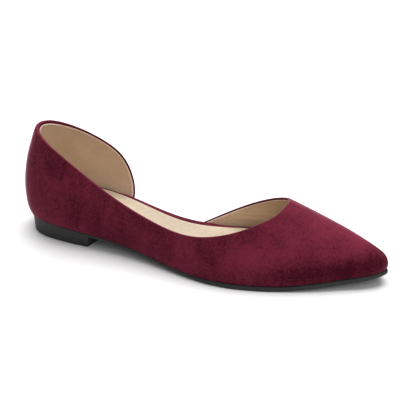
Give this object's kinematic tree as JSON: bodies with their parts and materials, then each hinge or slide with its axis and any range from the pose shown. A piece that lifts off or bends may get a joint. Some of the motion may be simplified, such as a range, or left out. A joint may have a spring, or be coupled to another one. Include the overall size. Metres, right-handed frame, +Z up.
{
  "type": "flat shoe",
  "caption": "Pointed-toe flat shoe for the right foot, with a suede upper cut away on the inner side, a cushioned sock and a low block heel; stands on heel and forefoot.",
  "frame": {"origin": "on the floor, under the middle of the shoe's length and width", "axes": "+X from heel to toe, +Y towards the inner side of the foot, +Z up"},
  "size_m": [0.261, 0.0812, 0.0749],
  "materials": {
    "suede": "napped",
    "sole_rubber": "satin",
    "sock_lining": "matte"
  },
  "bodies": {
    "root": {"outsole": "sole_rubber", "heel": "sole_rubber", "footbed": "suede", "sock": "sock_lining", "upper": "suede"}
  },
  "joints": []
}
